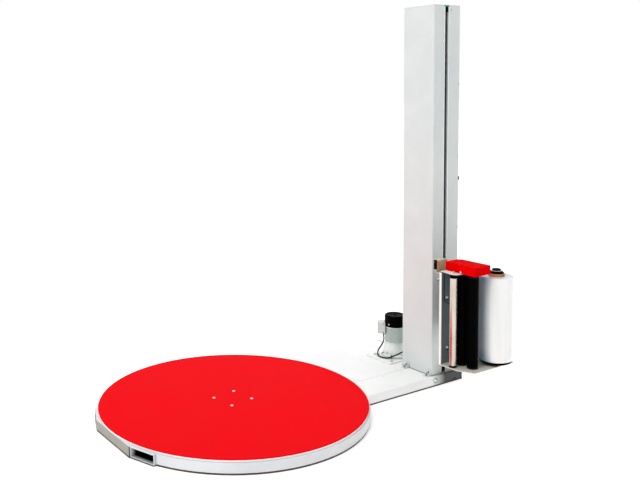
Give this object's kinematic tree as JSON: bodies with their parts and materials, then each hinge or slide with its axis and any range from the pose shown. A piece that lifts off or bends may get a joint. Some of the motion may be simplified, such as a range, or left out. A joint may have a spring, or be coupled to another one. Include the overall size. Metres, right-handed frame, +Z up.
{
  "type": "turntable pallet wrapper",
  "caption": "Low round turntable with a ramp-height ring, a slotted mast on a side platform and a film carriage that climbs it to wrap a pallet in stretch film.",
  "frame": {"origin": "turntable axis at the floor", "axes": "+X along the platform to the mast, +Y away from the film carriage's side, +Z up"},
  "size_m": [2.2221, 1.581, 2.272],
  "materials": {
    "white_paint": "semi-gloss off-white paint",
    "red_paint": "satin bright red paint",
    "dark_steel": "dull dark primer",
    "steel": "machined",
    "grey_paint": "satin grey paint",
    "light_plastic": "matt light grey",
    "black_plastic": "satin black",
    "black_rubber": "matt black",
    "zinc": "yellow zinc plate",
    "aluminium": "turned",
    "film": "milky stretch film wound tight",
    "cardboard": "brown paper board",
    "red_plastic": "moulded red",
    "green_plastic": "moulded green"
  },
  "bodies": {
    "machine": {"base_plate": "dark_steel", "base_ring": "white_paint", "fork_tube_near": "white_paint", "fork_tube_far": "white_paint", "centre_spindle": "steel", "platform_frame": "white_paint", "deck_panel_near": "white_paint", "deck_panel_far": "white_paint", "motor_mount_plate": "white_paint", "gearbox_housing": "grey_paint", "motor_stator": "grey_paint", "fan_cover": "black_plastic", "terminal_box": "light_plastic", "cable_gland": "black_plastic", "motor_cable": "black_rubber", "drive_chain": "steel", "mast_column": "white_paint", "mast_top_cap": "white_paint", "foot_bracket_near": "white_paint", "foot_bracket_far": "white_paint", "lift_gearmotor": "grey_paint", "lift_belt": "black_rubber", "control_box": "white_paint"},
    "turntable": {"turntable_plate": "red_paint", "turntable_sprocket": "steel"},
    "drive_sprocket": {"drive_sprocket": "steel"},
    "motor_fan": {"motor_fan": "black_plastic"},
    "lift_drive_pulley": {"lift_drive_pulley": "steel"},
    "lift_idler_pulley": {"lift_idler_pulley": "steel"},
    "cabinet_door": {"cabinet_door": "white_paint"},
    "main_switch": {"main_switch": "black_plastic"},
    "emergency_stop": {"emergency_stop": "red_plastic"},
    "start_button": {"start_button": "green_plastic"},
    "reset_button": {"reset_button": "black_plastic"},
    "speed_knob": {"speed_knob": "black_plastic"},
    "carriage": {"lift_trolley": "steel", "carriage_back_plate": "grey_paint", "carriage_bottom_plate": "white_paint", "carriage_top_plate": "white_paint", "gear_cover": "red_paint", "photocell_bracket": "zinc", "photocell": "black_plastic"},
    "guide_wheel_lower": {"guide_wheel_lower": "black_plastic"},
    "guide_wheel_upper": {"guide_wheel_upper": "black_plastic"},
    "prestretch_rear": {"prestretch_roller_rear": "black_rubber", "prestretch_gear_rear": "steel"},
    "prestretch_front": {"prestretch_roller_front": "black_rubber", "prestretch_gear_front": "steel"},
    "idle_roller": {"idle_roller": "aluminium"},
    "spool": {"film_mandrel": "steel", "brake_disc": "black_plastic", "film_core": "cardboard", "film_roll": "film", "mandrel_knob": "black_plastic"},
    "support_wheel_1": {"support_wheel_1": "black_rubber"},
    "support_wheel_2": {"support_wheel_2": "black_rubber"},
    "support_wheel_3": {"support_wheel_3": "black_rubber"},
    "support_wheel_4": {"support_wheel_4": "black_rubber"},
    "support_wheel_5": {"support_wheel_5": "black_rubber"},
    "support_wheel_6": {"support_wheel_6": "black_rubber"}
  },
  "joints": [
    {"name": "turntable_spin", "type": "hinge", "parent": "machine", "child": "turntable", "pos_m": [0, 0, 0], "axis": [0, 0, 1], "continuous": true},
    {"name": "support_wheel_1_spin", "type": "hinge", "parent": "machine", "child": "support_wheel_1", "pos_m": [0.66, 0, 0.0457], "axis": [1, 0, 0], "continuous": true},
    {"name": "support_wheel_2_spin", "type": "hinge", "parent": "machine", "child": "support_wheel_2", "pos_m": [0.33, 0.57158, 0.0457], "axis": [0.5, 0.866, 0], "continuous": true},
    {"name": "support_wheel_3_spin", "type": "hinge", "parent": "machine", "child": "support_wheel_3", "pos_m": [-0.33, 0.57158, 0.0457], "axis": [-0.5, 0.866, 0], "continuous": true},
    {"name": "support_wheel_4_spin", "type": "hinge", "parent": "machine", "child": "support_wheel_4", "pos_m": [-0.66, 0, 0.0457], "axis": [-1, 0, 0], "continuous": true},
    {"name": "support_wheel_5_spin", "type": "hinge", "parent": "machine", "child": "support_wheel_5", "pos_m": [-0.33, -0.57158, 0.0457], "axis": [-0.5, -0.866, 0], "continuous": true},
    {"name": "support_wheel_6_spin", "type": "hinge", "parent": "machine", "child": "support_wheel_6", "pos_m": [0.33, -0.57158, 0.0457], "axis": [0.5, -0.866, 0], "continuous": true},
    {"name": "drive_sprocket_spin", "type": "hinge", "parent": "machine", "child": "drive_sprocket", "pos_m": [1.295, 0.048, 0.048], "axis": [0, 0, 1], "continuous": true},
    {"name": "motor_fan_spin", "type": "hinge", "parent": "machine", "child": "motor_fan", "pos_m": [1.295, 0.048, 0.292], "axis": [0, 0, 1], "continuous": true},
    {"name": "carriage_lift", "type": "slide", "parent": "machine", "child": "carriage", "axis": [0, 0, 1], "range_m": [-0.08, 1.38]},
    {"name": "lift_drive_pulley_spin", "type": "hinge", "parent": "machine", "child": "lift_drive_pulley", "pos_m": [1.307, -0.205, 0.2], "axis": [0, 1, 0], "continuous": true},
    {"name": "lift_idler_pulley_spin", "type": "hinge", "parent": "machine", "child": "lift_idler_pulley", "pos_m": [1.307, -0.205, 2.15], "axis": [0, 1, 0], "continuous": true},
    {"name": "guide_wheel_lower_spin", "type": "hinge", "parent": "carriage", "child": "guide_wheel_lower", "pos_m": [1.307, -0.327, 0.375], "axis": [1, 0, 0], "continuous": true},
    {"name": "guide_wheel_upper_spin", "type": "hinge", "parent": "carriage", "child": "guide_wheel_upper", "pos_m": [1.307, -0.327, 0.645], "axis": [1, 0, 0], "continuous": true},
    {"name": "prestretch_rear_spin", "type": "hinge", "parent": "carriage", "child": "prestretch_rear", "pos_m": [1.117, -0.648, 0.5], "axis": [0, 0, 1], "continuous": true},
    {"name": "prestretch_front_spin", "type": "hinge", "parent": "carriage", "child": "prestretch_front", "pos_m": [1.11831, -0.72299, 0.5], "axis": [0, 0, 1], "continuous": true},
    {"name": "idle_roller_spin", "type": "hinge", "parent": "carriage", "child": "idle_roller", "pos_m": [1.045, -0.65, 0.5], "axis": [0, 0, 1], "continuous": true},
    {"name": "spool_spin", "type": "hinge", "parent": "carriage", "child": "spool", "pos_m": [1.3, -0.731, 0.5], "axis": [0, 0, 1], "continuous": true},
    {"name": "cabinet_door_hinge", "type": "hinge", "parent": "machine", "child": "cabinet_door", "pos_m": [1.4256, -0.12, 1.13], "axis": [0, 0, 1], "range_deg": [0, 110]},
    {"name": "main_switch_turn", "type": "hinge", "parent": "cabinet_door", "child": "main_switch", "pos_m": [1.4274, -0.298, 1.24], "axis": [1, 0, 0], "range_deg": [0, 90]},
    {"name": "emergency_stop_press", "type": "slide", "parent": "machine", "child": "emergency_stop", "axis": [-1, 0, 0], "range_m": [0, 0.006]},
    {"name": "start_button_press", "type": "slide", "parent": "machine", "child": "start_button", "axis": [-1, 0, 0], "range_m": [0, 0.005], "stiffness_N_per_m": 400},
    {"name": "reset_button_press", "type": "slide", "parent": "machine", "child": "reset_button", "axis": [-1, 0, 0], "range_m": [0, 0.005], "stiffness_N_per_m": 400},
    {"name": "speed_knob_turn", "type": "hinge", "parent": "machine", "child": "speed_knob", "pos_m": [1.4441, -0.175, 1.665], "axis": [1, 0, 0], "range_deg": [-135, 135]}
  ],
  "couplings": [
    {"joint": "support_wheel_1_spin", "follows": "turntable_spin", "ratio": -27.5},
    {"joint": "support_wheel_2_spin", "follows": "turntable_spin", "ratio": -27.5},
    {"joint": "support_wheel_3_spin", "follows": "turntable_spin", "ratio": -27.5},
    {"joint": "support_wheel_4_spin", "follows": "turntable_spin", "ratio": -27.5},
    {"joint": "support_wheel_5_spin", "follows": "turntable_spin", "ratio": -27.5},
    {"joint": "support_wheel_6_spin", "follows": "turntable_spin", "ratio": -27.5},
    {"joint": "drive_sprocket_spin", "follows": "turntable_spin", "ratio": 3.6},
    {"joint": "motor_fan_spin", "follows": "turntable_spin", "ratio": 72},
    {"joint": "lift_drive_pulley_spin", "follows": "carriage_lift", "rad_per_m": -27.027},
    {"joint": "lift_idler_pulley_spin", "follows": "carriage_lift", "rad_per_m": -27.027},
    {"joint": "guide_wheel_lower_spin", "follows": "carriage_lift", "rad_per_m": 55.556},
    {"joint": "guide_wheel_upper_spin", "follows": "carriage_lift", "rad_per_m": 55.556},
    {"joint": "prestretch_front_spin", "follows": "prestretch_rear_spin", "ratio": -1.5}
  ]
}
